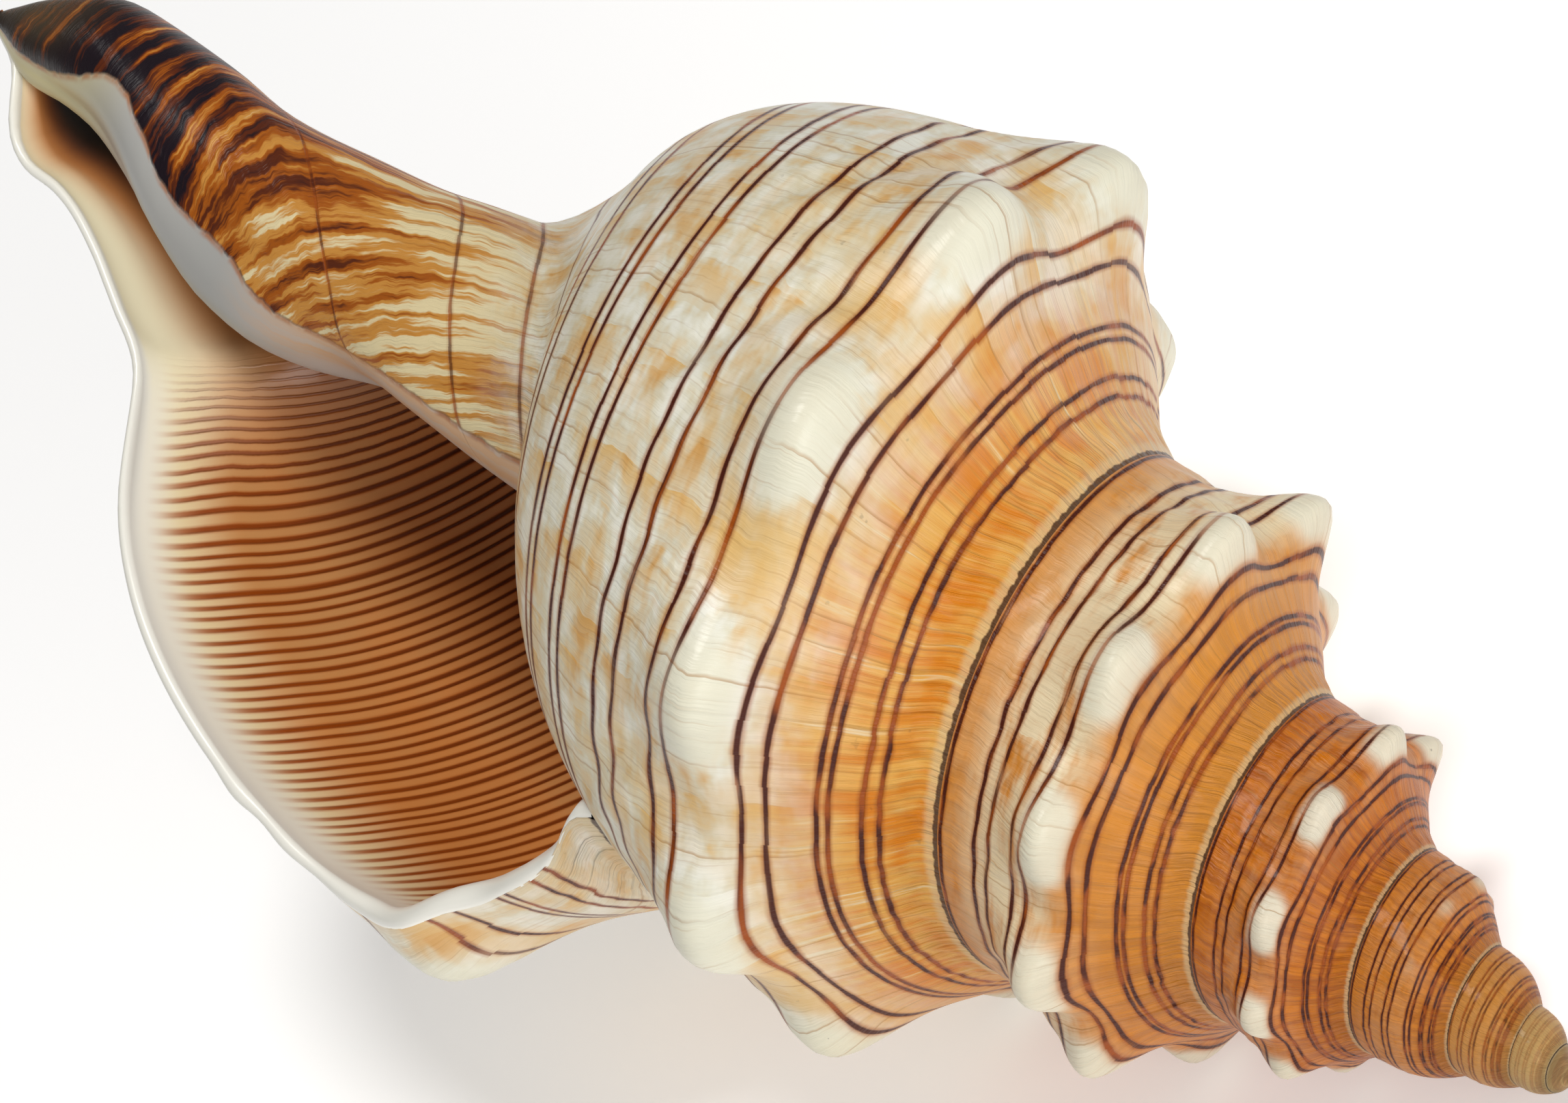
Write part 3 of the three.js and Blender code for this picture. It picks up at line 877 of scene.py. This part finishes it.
def callus_colour(p, s, colour):
    """Grey glaze inside the callus border, and its mask."""
    ragged = p.grain((s.depth, 0.5), detail=3.0)
    across = p.add(s.callus, p.mul(p.sub(ragged, 0.5), 1.2))
    glaze = p.step(-0.15, 0.2, across)
    rim = p.mul(p.step(0.75, 0.25, across), p.step(0.35, 0.6, ragged))
    streak = p.grain((across, 0.9), (s.depth, 0.05), detail=3.0)
    tint = p.mix(s.soft, CALLUS_LIGHT, CALLUS_GREY)
    tint = p.mix(p.step(158, 172, s.depth), tint, CALLUS_TIP)
    lower = p.step(146, 132, s.depth)
    tint = p.mix(p.mul(lower, 0.8), tint, CALLUS_LOWER)
    beside = p.mul(p.step(6.0, 2.0, across), p.add(0.45, p.mul(p.step(0.38, 0.6, streak), 0.55)))
    tint = p.mix(p.mul(lower, beside), tint, CALLUS_FLESH)
    tint = p.mix(p.mul(rim, 0.8), tint, CALLUS_RIM)
    return p.mix(glaze, colour, tint), glaze


def outside_height(p, s, across, lines, glaze):
    """Growth wrinkles for the bump, stronger towards the sutures and none on the callus."""
    ridges = streaks(p, s, 0.9, 8.0)
    folds = streaks(p, s, 0.35, 12.0, 1.0)
    near_suture = p.step(94, 80, s.level)
    height = p.mul(ridges, p.add(0.35, p.mul(near_suture, 0.4)))
    height = p.add(height, p.mul(folds, p.add(0.2, near_suture)))
    height = p.add(height, p.mul(p.step(0.3, 1.0, across), 0.03))
    height = p.mul(height, p.sub(1.0, glaze))
    return p.sub(height, p.mul(lines, 0.1))


def outside_material():
    p = Paint("conch_outside")
    s = Surface(p)
    ramp = p.mul(p.step(99, 86, s.level), p.step(-60, -250, s.growth, 0.15, 1.0))
    colour = p.mix(ramp, body_colour(p, s), ramp_colour(p, s))
    colour = p.mix(s.spire, colour, spire_colour(p, s))
    colour = knob_colour(p, s, colour)
    colour, across = draw_scars(p, s, colour)
    colour = stem_colour(p, s, colour)
    colour, lines = draw_lines(p, s, colour)
    colour = suture_border_and_shadow(p, s, colour)
    colour, glaze = callus_colour(p, s, colour)
    return p.shade({
        "Base Color": colour,
        "Normal": p.bump(outside_height(p, s, across, lines, glaze), *OUTSIDE_BUMP),
        "Roughness": p.add(0.24, p.mul(s.soft, 0.24)),
        "Specular IOR Level": 0.2,
        "Coat Weight": 0.08,
        "Coat Roughness": 0.12,
    })


def mouth_colour(p, level, inward, arc, soft):
    """Flesh of the mouth with its fine dark ridges, and the mask of the ridges."""
    flesh = p.mix(p.step(2, 10, inward), FLESH_WHITE, FLESH_CREAM)
    flesh = p.mix(p.step(6, 20, inward), flesh, FLESH)
    cloud = p.mul(p.step(0.42, 0.62, soft), p.step(6, 22, inward))
    flesh = p.mix(p.mul(cloud, 0.6), flesh, FLESH_CLOUD)
    flesh = p.mix(p.mul(p.step(20, 140, inward), 0.6), flesh, FLESH_DEEP)
    start = p.add(2.4, p.mul(p.grain((arc, 0.9)), 3.6))
    sway = p.mul(p.sub(p.grain((arc, 0.25)), 0.5), 1.2)
    saw = p.math("PINGPONG", p.add(p.mul(arc, 0.86), sway), 0.5)
    above_canal = p.step(*RIDGE_END, level)
    ridge = p.mul(p.step(0.0, 9.0, p.sub(inward, start)), above_canal)
    ridge = p.mul(p.step(0.22, 0.05, saw), ridge)
    halo = p.mul(p.step(0.36, 0.1, saw), p.mul(p.step(2.0, 10.0, inward), above_canal))
    colour = p.mix(p.mul(halo, 0.7), flesh, RIDGE_HALO)
    dark = p.mix(p.step(10, 70, inward), RIDGE_OUTER, RIDGE_DEEP)
    return p.mix(p.mul(ridge, 0.95), colour, dark), ridge


def canal_colour_and_shade(p, depth, inward):
    """Colours of the canal's inside, darker inwards and towards the tip: its own cream, flesh and
    brown, then painted shade deeper in, blue-black near the tip.
    """
    reach = p.add(inward, p.mul(p.step(158, 176, depth), 14))
    tone = p.mix(p.step(8, 36, reach), CANAL_CREAM, CANAL_FLESH)
    for low, high, band_colour in CANAL_BROWN_AND_SHADE:
        tone = p.mix(p.step(low, high, reach), tone, band_colour)
    # painted shade: blue-black deep inside the canal near its tip
    return p.mix(p.mul(p.step(30, 64, reach), p.step(152, 172, depth)), tone, CANAL_TIP_SHADE)


def mouth_material():
    p = Paint("conch_mouth")
    level, depth, inward, rim, arc = map(p.value, ("level", "depth", "inward", "rim", "arc"))
    soft = p.noise(p.object_place(), 50.0, 3.0)
    colour, ridge = mouth_colour(p, level, inward, arc, soft)
    colour = p.mix(p.step(145, 155, level), colour, canal_colour_and_shade(p, depth, inward))
    edge = p.math("MAXIMUM", p.step(2.5, -0.5, inward), p.step(0.0, 0.3, rim))
    return p.shade({
        "Base Color": p.mix(edge, colour, RIM_WHITE),
        "Normal": p.bump(ridge, *MOUTH_BUMP),
        "Roughness": p.add(0.26, p.mul(soft, 0.15)),
        "Coat Weight": 0.15,
        "Coat Roughness": 0.1,
    })


# Stage, lights and camera
FLOOR_SIZE = 3.0
CAMERA_FROM_APEX = (432.52, -152.82, 394.15)
CAMERA_PLACE = (Vector(REST_SHIFT) + Vector(CAMERA_FROM_APEX)) / 1000
CAMERA_RIGHT = Vector((0.5569, 0.6474, -0.5203))
CAMERA_UP = Vector((-0.2366, 0.7241, 0.6478))
CAMERA_LENS = 179.97
SENSOR_WIDTH = 36
CLIP_START = 0.01
TARGET = Vector((0.0026, 0.0021, 0.0372))
KEY_SIZE, KEY_POWER, KEY_COLOUR = 0.3, 4.6, (1, 0.98, 0.95)
FILL_SIZE, FILL_POWER, FILL_COLOUR = 0.5, 3.2, (1, 1, 1)
WORLD_STRENGTH = 0.18


def floor_piece():
    size = FLOOR_SIZE
    mesh = bpy.data.meshes.new("floor")
    mesh.from_pydata([(-size, -size, 0), (size, -size, 0), (size, size, 0), (-size, size, 0)], [],
                     [(0, 1, 2, 3)])
    floor = bpy.data.objects.new("floor", mesh)
    bpy.context.scene.collection.objects.link(floor)
    mesh.materials.append(Paint("floor_paint").shade({
        "Base Color": (0.95, 0.95, 0.95, 1),
        "Roughness": 0.9,
        "Emission Color": (1, 1, 1, 1),
        "Emission Strength": 0.36,
    }))


def camera():
    data = bpy.data.cameras.new("camera")
    data.lens = CAMERA_LENS
    data.sensor_width = SENSOR_WIDTH
    data.clip_start = CLIP_START
    eye = bpy.data.objects.new("camera", data)
    right = CAMERA_RIGHT.normalized()
    back = right.cross(CAMERA_UP).normalized()
    up = back.cross(right)
    turned = Matrix((right, up, back)).transposed().to_4x4()
    eye.matrix_world = Matrix.Translation(CAMERA_PLACE) @ turned
    bpy.context.scene.collection.objects.link(eye)
    bpy.context.scene.camera = eye


def area_light(name, place, size, power, colour):
    data = bpy.data.lights.new(name, "AREA")
    data.shape = "DISK"
    data.size = size
    data.energy = power
    data.color = colour
    light = bpy.data.objects.new(name, data)
    light.location = place
    light.rotation_euler = (TARGET - place).to_track_quat("-Z", "Y").to_euler()
    bpy.context.scene.collection.objects.link(light)


def lights():
    right, up = CAMERA_RIGHT, CAMERA_UP
    toward = right.cross(up)
    key = TARGET + toward * 0.62 + up * 0.6 - right * 0.3
    area_light("key_light", key, KEY_SIZE, KEY_POWER, KEY_COLOUR)
    fill = TARGET + toward * 0.8 + right * 0.3 - up * 0.15
    area_light("fill_light", fill, FILL_SIZE, FILL_POWER, FILL_COLOUR)
    world = bpy.data.worlds.new("studio")
    bpy.context.scene.world = world
    world.use_nodes = True
    background = world.node_tree.nodes["Background"]
    background.inputs["Color"].default_value = (1, 1, 1, 1)
    background.inputs["Strength"].default_value = WORLD_STRENGTH
    bpy.context.scene.view_settings.view_transform = "Standard"


camera()
lights()
floor_piece()
outside = outside_piece()
outside.data.materials.append(outside_material())
mouth = mouth_piece()
mouth.data.materials.append(mouth_material())
